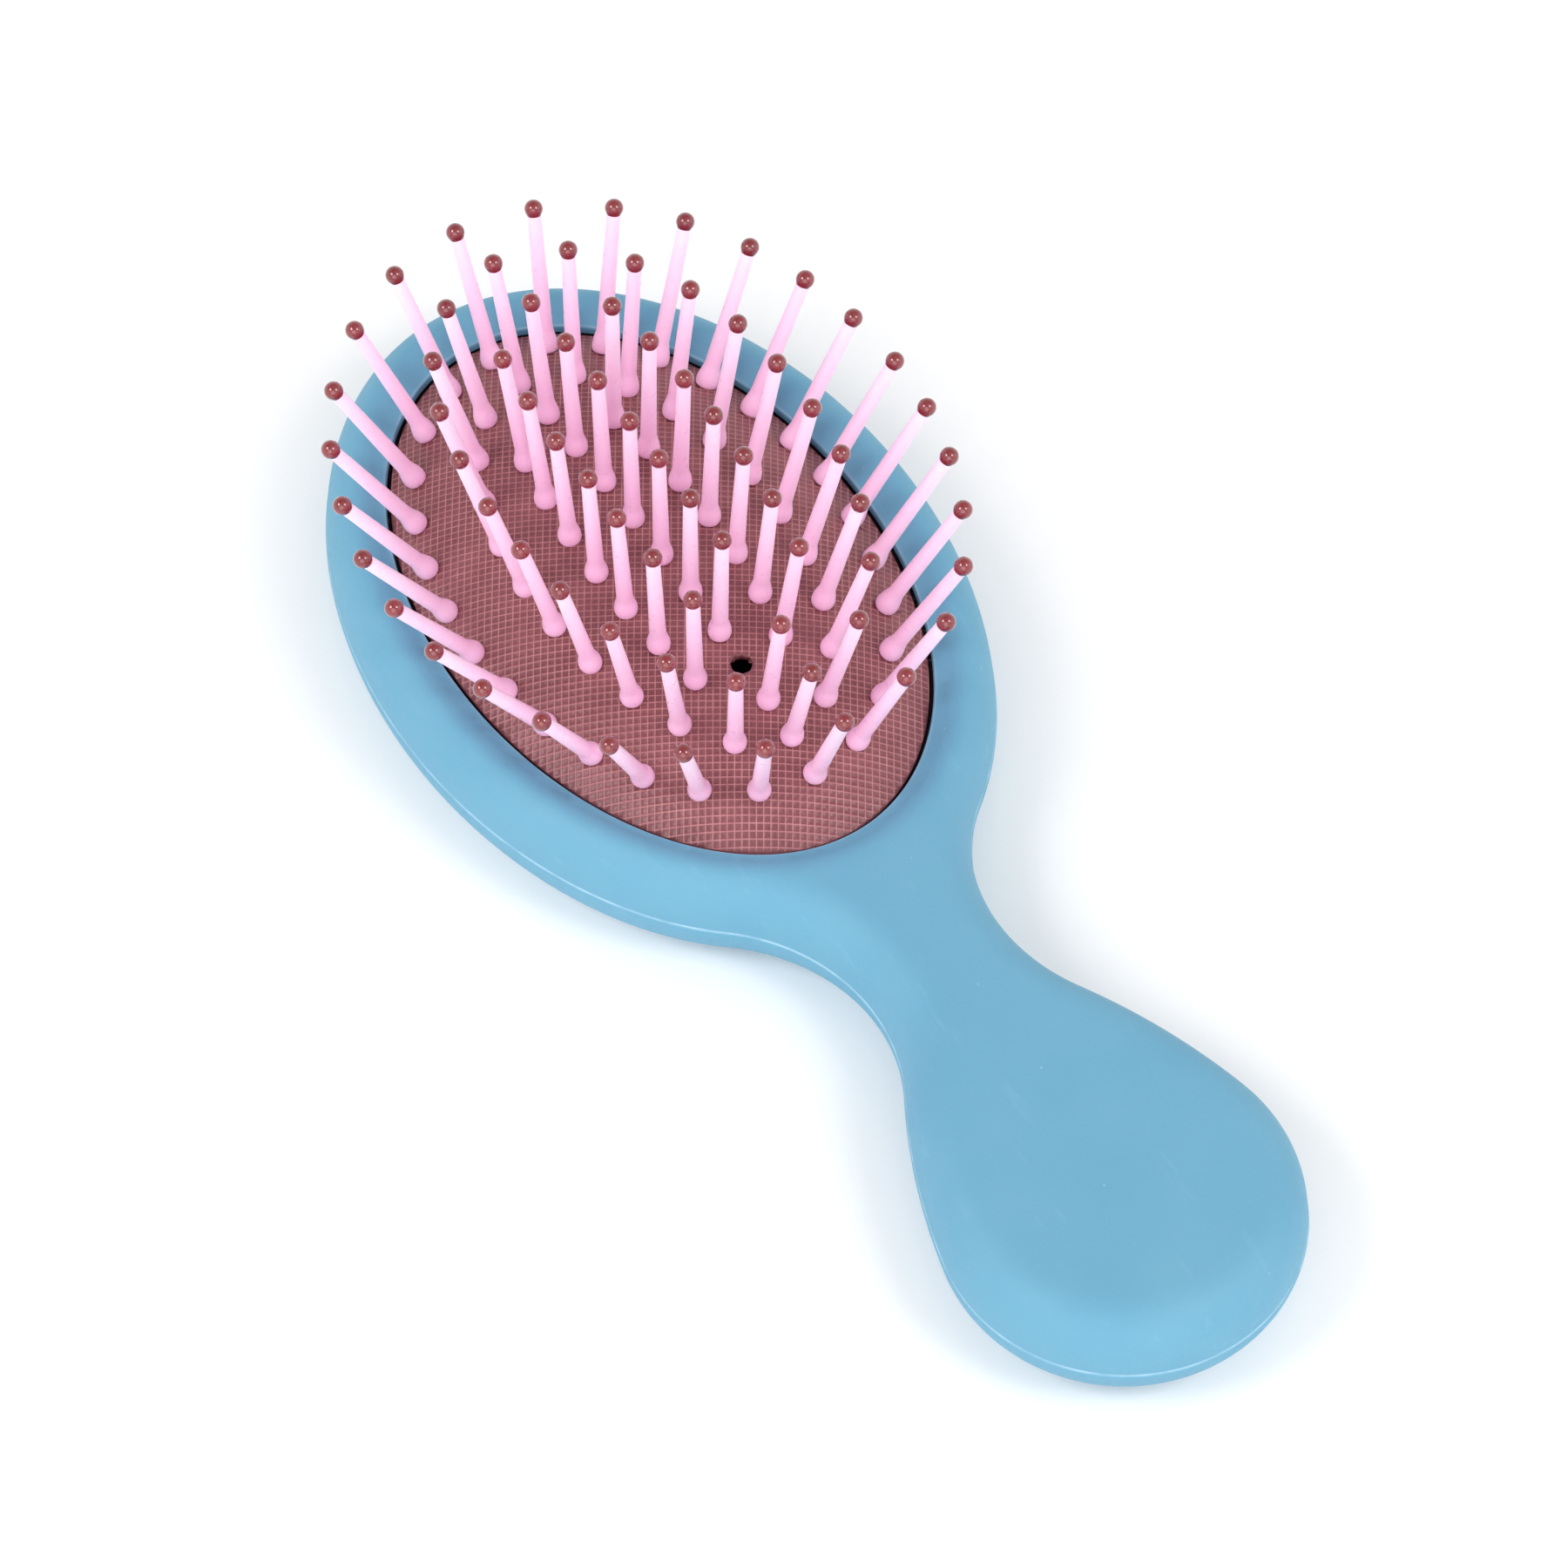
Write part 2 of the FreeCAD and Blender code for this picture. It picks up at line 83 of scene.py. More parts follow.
# 2 rounds a face's edge as an oval does, and more makes it squarer.
FRONT_POWER = 2.3
BACK_POWER = 2.0
# The frame's face dips towards the opening and turns down into it: (away from the edge, down).
LIP_DROP = 1.75
LIP_REACH = 3.4
LIP_ROUND = 0.5
LIP_STEPS = ((0.30, 0.03), (0.14, 0.10), (0.04, 0.22), (0.0, 0.38))
# The band just inside the outline, and each hollow's loops as (inset, height), inwards.
BAND = 3.4
BAND_ROWS = 16
EDGE_INSET = 0.01
WALL = 2.2
CEILING = 3.5
FLOOR = 4.2
FRONT_HOLLOW = ((WALL, 0.0), (WALL, 1.0), (2.6, 2.6), (BAND, CEILING))
BACK_HOLLOW = ((WALL, 0.0), (WALL, 1.2), (2.8, 3.2), (BAND, FLOOR))
# The back shell stands proud of the front one by a small bevelled step along the parting plane.
SEAM_STEP = 0.12
SEAM_BEVEL = 0.16
# How strong the painted highlight on the opening's edge is, where the parting line's is 1.
LIP_HIGHLIGHT = 0.5

# The cushion's dome, and the embossed square net on it.
DOME_GAP = 0.4
DOME_EDGE = 3.6
DOME_RISE = 5.43
DOME_POWER = 3.2
NET_PITCH = 0.64
NET_LINE = 0.09
NET_HEIGHT = 0.05
NET_TURN = math.radians(-32)
VENT_OFFSET = 14.4
VENT_RADIUS = 1.0
PAD_THICKNESS = 0.9
# The pad's fold: how far out from the dome's edge, and the level.
PAD_FOLD = ((0.05, 3.50), (0.05, 3.38), (0.12, 3.29), (0.5, 3.28), (1.6, 3.28))

PIN_LENGTH = 14.5
PIN_HOLE_RADIUS = 0.70
PIN_STRAY = 0.006
BALL_RADIUS = 0.86
# The ball's collar on the pin, as (radius, height from the ball's centre), and its outline in degrees.
BALL_COLLAR = ((0.40, -0.62), (0.66, -0.62), (0.69, -0.57))
BALL_START = -34
BALL_STEP = 10
BALL_STEPS = 13
# The pin: head under the cushion, neck through it, foot on it, and tapered shaft.
PIN_HEAD_RADIUS = 1.10
PIN_HEAD_EDGE = 0.07
PIN_HEAD_LEVELS = (-2.15, -1.35)
PIN_NECK_RADIUS = 0.65
FOOT_EDGE_RADIUS = 0.88
FOOT_RADIUS = 1.08
FOOT_LEVELS = (0.03, 0.58, 2.50)
SHAFT_RADII = (0.755, 0.635)
SHAFT_TOP = 13.87
CORE_RADIUS = 0.20

# Rings of evenly spaced pins: half width, half length, middle, and how many pins.
OUTER_RING = (18.3, 27.65, 1.15, 28)
MIDDLE_RING = (11.8, 23.3, 0.6, 22)
# The rows beside the middle line stand on an oval, at an even pitch along the brush.
INNER_OVAL = (5.9, 22.4, 1.0)
INNER_FIRST = 15.0
INNER_PITCH = 4.8
INNER_PINS = 7
LINE_END = 18.8
LINE_PITCH = 4.92
LINE_PINS = 7


# ---------------------------------------------------------------- colours, 0 to 255 as on a screen
BODY_BLUE = (101, 159, 187)
BODY_BLUE_WARM = (106, 163, 189)
# Painted highlight: the pale line along the shells' moulded edges.
EDGE_HIGHLIGHT_BLUE = (182, 214, 230)
GRAIN_BLUE = (92, 146, 176)
SCUFF_BLUE = (140, 190, 214)
FLECK_BLUE = (176, 208, 226)
INNER_DARK = (52, 52, 58)
INNER_GREY = (72, 71, 78)
CELL_RED = (112, 60, 64)
CELL_MAUVE = (132, 77, 82)
LINE_MAUVE = (170, 108, 111)
LINE_PINK = (192, 132, 133)
DUST_MAUVE = (176, 120, 124)
# Painted shade: the near-black of the cushion's fold in the gap under the frame.
FOLD_SHADE = (30, 18, 22)
# Painted shade: the pins' darker colour at the foot.
PIN_FOOT_SHADED = (255, 200, 234)
PIN_TIP = (255, 230, 249)
PIN_WARM = (252, 190, 228)
PIN_STREAK = (244, 184, 224)
BALL_RED = (116, 22, 30)
BALL_ROSE = (128, 32, 40)
BALL_MOTTLE = (158, 62, 68)

# ---------------------------------------------------------------- camera and light
CAMERA_TARGET = (-0.0005, 0.0044, 0.0064)
CAMERA_DISTANCE = 0.621
CAMERA_ANGLES = (-32.1, 54.8)
CAMERA_LENS = 160
FLOOR_REACH = 6.0
FLOOR_GAP = 0.00005
SKY_HORIZON = 1.35
SKY_ZENITH = 0.32
# Soft boxes: swing to the right of the camera and lift above it in degrees, size, distance, watts.
SOFT_BOXES = {
    "soft_box_left": (-38, 12, 0.34, 0.8, 2.0),
    "soft_box_right": (34, 10, 0.30, 0.8, 1.6),
    "overhead": (16, 30, 1.8, 2.0, 2.5),
    "front": (-6, -26, 2.0, 2.2, 15.0),
    "side": (64, 10, 1.4, 2.0, 2.5),
}


# ---------------------------------------------------------------- mesh helpers
def to_frame(points):
    """Millimetres about the head's middle, as metres in the row frame."""
    return (np.asarray(points, float) + (0, HEAD_Y, PARTING_Z)) * MM


def make_piece(name, points, faces, sharp_degrees=40):
    """A smooth-shaded object, with the edges sharper than an angle kept crisp."""
    mesh = bpy.data.meshes.new(name)
    mesh.from_pydata(to_frame(points).tolist(), [], faces)
    bm = bmesh.new()
    bm.from_mesh(mesh)
    bmesh.ops.recalc_face_normals(bm, faces=bm.faces)
    limit = math.radians(sharp_degrees)
    for face in bm.faces:
        face.smooth = True
    for edge in bm.edges:
        if len(edge.link_faces) == 2 and edge.calc_face_angle(0) > limit:
            edge.smooth = False
    bm.to_mesh(mesh)
    bm.free()
    piece = bpy.data.objects.new(name, mesh)
    bpy.context.scene.collection.objects.link(piece)
    return piece


def ring_faces(first, second, count, closed=True):
    """Quads between two rows of vertices that start at the given indices."""
    steps = count if closed else count - 1
    return [
        (first + i, first + (i + 1) % count, second + (i + 1) % count, second + i)
        for i in range(steps)
    ]


# ---------------------------------------------------------------- the brush's outline
ARC_COUNT = 200
OVAL_COUNT = 1200
CHUNK = 500


def arc(centre, radius, start, end, count=ARC_COUNT):
    """Points on an arc between two of its points, along the shorter way."""
    a = math.atan2(start[1] - centre[1], start[0] - centre[0])
    b = math.atan2(end[1] - centre[1], end[0] - centre[0])
    turn = (b - a + math.pi) % (2 * math.pi) - math.pi
    angles = a + turn * np.linspace(0, 1, count)[:-1]
    return np.stack([centre[0] + radius * np.cos(angles), centre[1] + radius * np.sin(angles)], 1)


def outline(count):
    """Evenly spaced points of the outline and their outward normals, anticlockwise."""
    centre_x = NECK_HALF_WIDTH + NECK_RADIUS
    low, high = -math.pi / 2, 0.0
    for _ in range(60):
        angle = (low + high) / 2
        start = np.array([HEAD_HALF_WIDTH * math.cos(angle), HEAD_HALF_LENGTH * math.sin(angle)])
        normal = np.array([math.cos(angle) / HEAD_HALF_WIDTH, math.sin(angle) / HEAD_HALF_LENGTH])
        normal /= np.linalg.norm(normal)
        if start[0] + normal[0] * NECK_RADIUS < centre_x:
            low = angle
        else:
            high = angle
    neck = start + normal * NECK_RADIUS
    bulb = np.array([0, -BULB_DISTANCE])
    # The flank's circle touches the neck's from outside and holds the bulb's inside itself.
    to_neck = FLANK_RADIUS + NECK_RADIUS
    to_bulb = FLANK_RADIUS - BULB_RADIUS
    span = neck - bulb
    length = np.linalg.norm(span)
    along = (to_bulb ** 2 - to_neck ** 2 + length ** 2) / (2 * length)
    aside = math.sqrt(to_bulb ** 2 - along ** 2)
    unit = span / length
    flank = bulb + unit * along + np.array([-unit[1], unit[0]]) * aside
    neck_end = neck + (flank - neck) / to_neck * NECK_RADIUS
    flank_end = bulb + (bulb - flank) / to_bulb * BULB_RADIUS
    tip = bulb - (0, BULB_RADIUS)
    right = np.concatenate([
        arc(bulb, BULB_RADIUS, tip, flank_end),
        arc(flank, FLANK_RADIUS, flank_end, neck_end),
        arc(neck, NECK_RADIUS, neck_end, start),
    ])
    sweep = np.linspace(angle, math.pi - angle, OVAL_COUNT)
    oval = np.stack([HEAD_HALF_WIDTH * np.cos(sweep), HEAD_HALF_LENGTH * np.sin(sweep)], 1)
    left = (right * (-1, 1))[::-1]
    return resampled(np.concatenate([right, oval, left[:-1]]), count)


def resampled(loop, count):
    """A closed loop as evenly spaced points, with outward normals."""
    closed = np.concatenate([loop, loop[:1]])
    steps = np.linalg.norm(np.diff(closed, axis=0), axis=1)
    length = np.concatenate([[0], np.cumsum(steps)])
    where = np.linspace(0, length[-1], count + 1)[:-1]
    points = np.stack([np.interp(where, length, closed[:, k]) for k in (0, 1)], 1)
    tangent = np.roll(points, -1, 0) - np.roll(points, 1, 0)
    tangent /= np.linalg.norm(tangent, axis=1)[:, None]
    return points, np.stack([tangent[:, 1], -tangent[:, 0]], 1)


def oval_loop(half_width, half_length, count):
    """Evenly spaced points of an oval about the head's middle, and their normals."""
    sweep = np.linspace(0, 2 * math.pi, 4 * count, endpoint=False)
    return resampled(np.stack([half_width * np.cos(sweep), half_length * np.sin(sweep)], 1), count)


def distance_to(loop, points):
    """Distance from each point to a closed loop of points."""
    a = loop
    b = np.roll(loop, -1, 0)
    edge = b - a
    best = np.full(len(points), np.inf)
    for p in range(0, len(points), CHUNK):
        rel = points[p:p + CHUNK, None] - a[None]
        t = np.clip((rel * edge).sum(2) / (edge ** 2).sum(1), 0, 1)
        best[p:p + CHUNK] = np.linalg.norm(rel - t[..., None] * edge, axis=2).min(1)
    return best


def smooth_step(x):
    """0 below 0, 1 above 1, smooth between."""
    x = np.clip(x, 0, 1)
    return x * x * (3 - 2 * x)


# ---------------------------------------------------------------- the two shells
OUTLINE_COUNT = 640
LIP_COUNT = 400
GRID = 0.85
TRIANGLE_HEIGHT = 0.866
LINE, LINE_NORMAL = outline(OUTLINE_COUNT)
LIP, LIP_NORMAL = oval_loop(OPENING_HALF_WIDTH, OPENING_HALF_LENGTH, LIP_COUNT)


def face_height(inset, y, reach, rise, power):
    """Height of a shell's face at an inset from the outline: a rounded edge, then level."""
    share = smooth_step((y - REACH_CHANGE[0]) / (REACH_CHANGE[1] - REACH_CHANGE[0]))
    width = reach[0] + (reach[1] - reach[0]) * share
    t = np.clip(inset / width, 0, 1)
    return rise * np.clip(1 - (1 - t) ** power, 0, 1) ** (1 / power)


def lip_drop(distance):
    """How far the frame's face dips towards the cushion's opening."""
    return LIP_DROP * np.clip(1 - distance / LIP_REACH, 0, 1) ** 2


def filled(outer, inner=None):
    """Triangles between an outer loop and an inner one, over an even grid of points."""
    spans = [
        np.arange(outer[:, k].min(), outer[:, k].max(), pitch)
        for k, pitch in ((0, GRID), (1, GRID * TRIANGLE_HEIGHT))
    ]
    grid_x, grid_y = np.meshgrid(*spans)
    grid_x = grid_x + (np.arange(len(spans[1])) % 2)[:, None] * GRID / 2
    grid = np.stack([grid_x.ravel(), grid_y.ravel()], 1)
    loops = [outer] if inner is None else [outer, inner]
    keep = inside(outer, grid) & (distance_to(outer, grid) > GRID * 0.5)
    if inner is not None:
        keep &= ~inside(inner, grid) & (distance_to(inner, grid) > GRID * 0.5)
    points = np.concatenate(loops + [grid[keep]])
    edges = []
    first = 0
    for loop in loops:
        edges += [(first + i, first + (i + 1) % len(loop)) for i in range(len(loop))]
        first += len(loop)
    made = delaunay_2d_cdt([Vector(p) for p in points], edges, [], 0, 1e-6)
    origin = [group[0] for group in made[3]]
    faces = np.array([[origin[v] for v in face] for face in made[2]])
    middle = points[faces].mean(1)
    good = inside(outer, middle)
    if inner is not None:
        good &= ~inside(inner, middle)
    return points, faces[good]


def inside(loop, points):
    """Which points lie inside a closed loop."""
    x, y = points[:, 0], points[:, 1]
    result = np.zeros(len(points), bool)
    for (x0, y0), (x1, y1) in zip(loop, np.roll(loop, -1, 0)):
        if y0 != y1:
            crosses = ((y0 > y) != (y1 > y)) & (x < (x1 - x0) * (y - y0) / (y1 - y0) + x0)
            result ^= crosses
    return result


def make_shell(name, reach, rise, power, up, inner_levels, opening):
    """One half of the body: a rounded face over the outline, hollow behind, closed all round.

    inner_levels is the loops of the hollow side, as (inset, height), from the parting plane inwards.
    """
    step = SEAM_STEP if up > 0 else 0.0
    bevel = 0.0 if up > 0 else SEAM_BEVEL
    insets = [step + bevel + EDGE_INSET, step + EDGE_INSET]
    insets += [BAND * (k / BAND_ROWS) ** 2 for k in range(1, BAND_ROWS + 1)]
    rows = []
    for k, inset in enumerate(insets):
        if k < 2:
            plan = LINE - LINE_NORMAL * inset
            height = np.full(OUTLINE_COUNT, (0.0, SEAM_BEVEL)[k])
        else:
            plan = LINE - LINE_NORMAL * (inset + step * (1 - inset / BAND))
            height = face_height(np.full(OUTLINE_COUNT, inset), plan[:, 1], reach, rise, power)
            if opening:
                height = height - lip_drop(distance_to(LIP, plan))
        rows.append(np.column_stack([plan, up * height]))
    for inset, height in inner_levels:
        plan = LINE - LINE_NORMAL * inset
        rows.append(np.column_stack([plan, np.full(OUTLINE_COUNT, up * height)]))
    outer_rows = len(insets)
    points = rows
    faces = []
    for k in range(outer_rows - 1):
        faces += ring_faces(k * OUTLINE_COUNT, (k + 1) * OUTLINE_COUNT, OUTLINE_COUNT)
    previous = 0
    for k in range(outer_rows, len(rows)):
        faces += ring_faces(previous * OUTLINE_COUNT, k * OUTLINE_COUNT, OUTLINE_COUNT)
        previous = k
    last_row = len(rows) - 1

    # The face inside the band, and the same net again for the hollow's ceiling.
    band_edge = LINE - LINE_NORMAL * BAND
    lip_edge = LIP + LIP_NORMAL * LIP_ROUND if opening else None
    plan, triangles = filled(band_edge, lip_edge)
    top = face_height(distance_to(LINE, plan), plan[:, 1], reach, rise, power)
    if opening:
        top = top - lip_drop(distance_to(LIP, plan))
    total = len(rows) * OUTLINE_COUNT
    ceiling = np.full(len(plan), inner_levels[-1][1])
    lip_starts = []
    for level, seam in ((top, outer_rows - 1), (ceiling, last_row)):
        lookup = np.arange(len(plan)) - OUTLINE_COUNT + total
        lookup[:OUTLINE_COUNT] = seam * OUTLINE_COUNT + np.arange(OUTLINE_COUNT)
        points.append(np.column_stack([plan, up * level])[OUTLINE_COUNT:])
        faces += [tuple(face) for face in lookup[triangles].tolist()]
        lip_starts.append(total)
        total += len(plan) - OUTLINE_COUNT
    if opening:
        lip_height = top[OUTLINE_COUNT:OUTLINE_COUNT + LIP_COUNT]
        previous, lip_bottom = lip_starts
        for away, down in LIP_STEPS:
            row = np.column_stack([LIP + LIP_NORMAL * away, up * (lip_height - down)])
            points.append(row)
            faces += ring_faces(previous, total, LIP_COUNT)
            previous = total
            total += LIP_COUNT
        bottom = np.column_stack([LIP, np.full(LIP_COUNT, up * CEILING)])
        points.append(bottom)
        faces += ring_faces(previous, total, LIP_COUNT)
        faces += ring_faces(total, lip_bottom, LIP_COUNT)
        total += LIP_COUNT
    shell = make_piece(name, np.concatenate(points), faces)
    # The moulded edges, on the parting plane and round the opening, get a painted highlight: a pale line
    # where they catch the light.
    edge = np.zeros(total)
    edge[:OUTLINE_COUNT] = 1
    if opening:
        edge[total - 4 * LIP_COUNT:total - 3 * LIP_COUNT] = LIP_HIGHLIGHT
    add_attribute(shell.data, "edge", edge)
    return shell


# ---------------------------------------------------------------- the cushion
DOME_HALF_WIDTH = OPENING_HALF_WIDTH - DOME_GAP
DOME_HALF_LENGTH = OPENING_HALF_LENGTH - DOME_GAP
CAD_DOME_GAP = 0.25


def dome_share(x, y, gap):
    """0 in the middle of the dome, 1 at its edge."""
    return np.hypot(x / (OPENING_HALF_WIDTH - gap), y / (OPENING_HALF_LENGTH - gap))


def dome_height(x, y):
    """Height of the cushion's top surface above the parting plane."""
    t = dome_share(x, y, CAD_DOME_GAP)
    return DOME_EDGE + DOME_RISE * (1 - t ** DOME_POWER)


def dome_normal(x, y):
    """Unit normal of the cushion's top surface."""
    t = dome_share(x, y, CAD_DOME_GAP)
    steep = DOME_RISE * DOME_POWER * t ** (DOME_POWER - 2)
    normal = Vector((
        steep * x / (OPENING_HALF_WIDTH - CAD_DOME_GAP) ** 2,
        steep * y / (OPENING_HALF_LENGTH - CAD_DOME_GAP) ** 2,
        1,
    ))
    return normal.normalized()


def net_positions(reach):
    """Stations across the net: the middle and the two edges of every line."""
    count = int(reach / NET_PITCH) + 1
    stations = []
    for k in range(-count, count + 1):
        stations += [k * NET_PITCH - NET_LINE, k * NET_PITCH, k * NET_PITCH + NET_LINE]
    return np.array(stations), np.array([0, 1, 0] * (2 * count + 1), float)


def make_cushion(pins):
    """Domed pad with raised net lines, a hole for each pin, the vent, and its edge folded under."""
    stations, raised = net_positions(DOME_HALF_LENGTH + 1)
    u, v = np.meshgrid(stations, stations, indexing="ij")
    line_u, line_v = np.meshgrid(raised, raised, indexing="ij")
    x = u * math.cos(NET_TURN) - v * math.sin(NET_TURN)
    y = u * math.sin(NET_TURN) + v * math.cos(NET_TURN)
    plan = np.stack([x.ravel(), y.ravel()], 1)
    line = np.maximum(line_u, line_v).ravel()

    # What lies past the dome's edge or in a hole is dropped; what straddles either is moved onto it.
    half_sizes = np.array([DOME_HALF_WIDTH, DOME_HALF_LENGTH])
    share = np.linalg.norm(plan / half_sizes, axis=1)
    beyond = share > 1
    moved = plan.copy()
    moved[beyond] = plan[beyond] / share[beyond, None]
    within = np.zeros(len(plan), bool)
    holes = [(px, py, PIN_HOLE_RADIUS) for px, py in pins] + [(0, -VENT_OFFSET, VENT_RADIUS)]
    for px, py, radius in holes:
        away = plan - (px, py)
        distance = np.linalg.norm(away, axis=1)
        hit = distance < radius
        within |= hit
        moved[hit] = (px, py) + away[hit] / np.maximum(distance[hit], 1e-6)[:, None] * radius
    line[within | beyond] = 0
    index = np.arange(len(plan)).reshape(u.shape)
    quads = np.stack([index[:-1, :-1], index[1:, :-1], index[1:, 1:], index[:-1, 1:]], -1).reshape(-1, 4)
    quads = quads[~beyond[quads].all(1) & ~within[quads].all(1)]
    used, quads = np.unique(quads, return_inverse=True)
    quads = quads.reshape(-1, 4)
    plan = moved[used]
    line = line[used]
    height = dome_height(plan[:, 0], plan[:, 1]) + line * NET_HEIGHT
    points = [np.column_stack([plan, height])]
    faces = [tuple(face) for face in quads.tolist()]

    # The open edge round the dome, folded down beside the frame and out under it.
    directed = {(face[k], face[(k + 1) % 4]) for face in faces for k in range(4)}
    on_edge = np.linalg.norm(plan / half_sizes, axis=1) > 0.999
    rim = [(i, j) for i, j in directed if (j, i) not in directed and on_edge[i] and on_edge[j]]
    rim_verts = sorted({i for edge in rim for i in edge})
    base = plan[rim_verts]
    normal = base / half_sizes ** 2
    normal /= np.linalg.norm(normal, axis=1)[:, None]
    row = {vert: vert for vert in rim_verts}
    total = len(plan)
    for out, level in PAD_FOLD:
        points.append(np.column_stack([base + normal * out, np.full(len(base), level)]))
        fresh = {vert: total + k for k, vert in enumerate(rim_verts)}
        faces += [(row[j], row[i], fresh[i], fresh[j]) for i, j in rim]
        row = fresh
        total += len(base)
    points = np.concatenate(points)

    mesh = bpy.data.meshes.new("cushion")
    mesh.from_pydata(to_frame(points).tolist(), [], faces)
    mesh.polygons.foreach_set("use_smooth", [True] * len(mesh.polygons))
    add_attribute(mesh, "line", np.concatenate([line, np.zeros(total - len(line))]))
    # The fold's rows are painted near-black in the material, as the shade in the gap under the frame.
    add_attribute(mesh, "fold", np.concatenate([np.zeros(len(line)), np.ones(total - len(line))]))
    pad = bpy.data.objects.new("cushion", mesh)
    bpy.context.scene.collection.objects.link(pad)
    thick = pad.modifiers.new("thickness", "SOLIDIFY")
    thick.thickness = PAD_THICKNESS * MM
    thick.offset = -1
    return pad


def add_attribute(mesh, name, values):
    """One number for each vertex, for the materials to read."""
    attribute = mesh.attributes.new(name, "FLOAT", "POINT")
    attribute.data.foreach_set("value", np.asarray(values, np.float32))


# ---------------------------------------------------------------- pins and their ball tips
RING_SAMPLES = 4001
TURNED_SEGMENTS = 24


def half_ring(ring):
    """Right half of a ring of evenly spaced pins, from the head's end to the handle's."""
    half_width, half_length, middle, count = ring
    sweep = np.linspace(0, math.pi, RING_SAMPLES)
    fine = np.stack([half_width * np.sin(sweep), middle + half_length * np.cos(sweep)], 1)
    steps = np.linalg.norm(np.diff(fine, axis=0), axis=1)
    length = np.concatenate([[0], np.cumsum(steps)])
    where = np.linspace(0, length[-1], count // 2 + 1)
    return list(zip(*(np.interp(where, length, fine[:, k]).tolist() for k in (0, 1))))


def inner_row():
    """Right row of pins beside the middle line, at an even pitch along the brush."""
    half_width, half_length, middle = INNER_OVAL
    points = []
    for number in range(INNER_PINS):
        y = INNER_FIRST - number * INNER_PITCH
        points.append((half_width * math.sqrt(1 - ((y - middle) / half_length) ** 2), y))
    return points


def middle_line():
    """Pins on the middle line: an even row from the head's end, the vent, then one more pin."""
    return [(0.0, LINE_END - number * LINE_PITCH) for number in range(LINE_PINS)] + [(0.0, -LINE_END)]


def on_side(points, side):
    """The same points on the right for a side of 1, and on the left for -1."""
    return [(side * x, y) for x, y in points]


def pin_groups():
    """Name of each group of pins that flexes together, and where its pins stand."""
    outer = half_ring(OUTER_RING)
    middle = half_ring(MIDDLE_RING)
    groups = {"centre": middle[:1] + middle_line() + middle[-1:]}
    for side, word in ((-1, "left"), (1, "right")):
        groups[f"inner_{word}"] = on_side(inner_row() + [middle[1], middle[-2]], side)
        groups[f"middle_{word}"] = on_side(middle[2:-2], side)
        groups[f"outer_{word}_upper"] = on_side(outer[3:6], side)
        groups[f"outer_{word}_middle"] = on_side(outer[6:9], side)
        groups[f"outer_{word}_lower"] = on_side(outer[9:12], side)
    groups["outer_top"] = on_side(outer[1:3], -1) + outer[:3]
    groups["outer_bottom"] = on_side(outer[12:14], -1) + outer[12:]
    return groups


def pin_profile():
    """Radius and height of the pin's outline, from the head under the cushion to the shaft's top."""
    low, high = PIN_HEAD_LEVELS
    inset = PIN_HEAD_RADIUS - PIN_HEAD_EDGE
    profile = [
        (CORE_RADIUS, low), (inset, low), (PIN_HEAD_RADIUS, low + PIN_HEAD_EDGE),
        (PIN_HEAD_RADIUS, high - PIN_HEAD_EDGE), (inset, high), (PIN_NECK_RADIUS, high),
        (PIN_NECK_RADIUS, FOOT_LEVELS[0]),
    ]
    bottom, widest, top = FOOT_LEVELS
    root, end = SHAFT_RADII
    for share in np.linspace(0, 1, 7):
        swell = math.sqrt(1 - (1 - share) ** 2)
        profile.append((FOOT_EDGE_RADIUS + (FOOT_RADIUS - FOOT_EDGE_RADIUS) * swell,
                        bottom + (widest - bottom) * share))
    for share in np.linspace(0, 1, 9)[1:]:
        narrowing = (1 + math.cos(math.pi * share)) / 2
        profile.append((root + (FOOT_RADIUS - root) * narrowing, widest + (top - widest) * share))
    for share in np.linspace(0, 1, 5)[1:]:
        profile.append((root + (end - root) * share, top + (SHAFT_TOP - top) * share))
    return profile + [(CORE_RADIUS, SHAFT_TOP)]


def turned(profile, segments):
    """Points, faces and heights of a profile of (radius, height) turned about Z, closed at both ends."""
    angles = np.linspace(0, 2 * math.pi, segments, endpoint=False)
    points = [(r * math.cos(a), r * math.sin(a), z) for r, z in profile for a in angles]
    faces = []
    for k in range(len(profile) - 1):
        faces += ring_faces(k * segments, (k + 1) * segments, segments)
    last = (len(profile) - 1) * segments
    faces.append(tuple(range(segments - 1, -1, -1)))
    faces.append(tuple(range(last, last + segments)))
    return np.array(points), faces


def ball_profile():
    """A sphere that runs down onto the pin in a short collar."""
    profile = [(radius, PIN_LENGTH + height) for radius, height in BALL_COLLAR]
    for step in range(BALL_STEPS):
        angle = math.radians(BALL_START + step * BALL_STEP)
        profile.append((BALL_RADIUS * math.cos(angle), PIN_LENGTH + BALL_RADIUS * math.sin(angle)))
    return profile


def lean(rng, x, y):
    """The direction a pin stands in: square to the cushion, with a small stray of its own."""
    direction = dome_normal(x, y)
    direction.x -= math.copysign(abs(rng.normal(0, PIN_STRAY)), x)
    direction.y += rng.normal(0, PIN_STRAY)
    return direction.normalized()


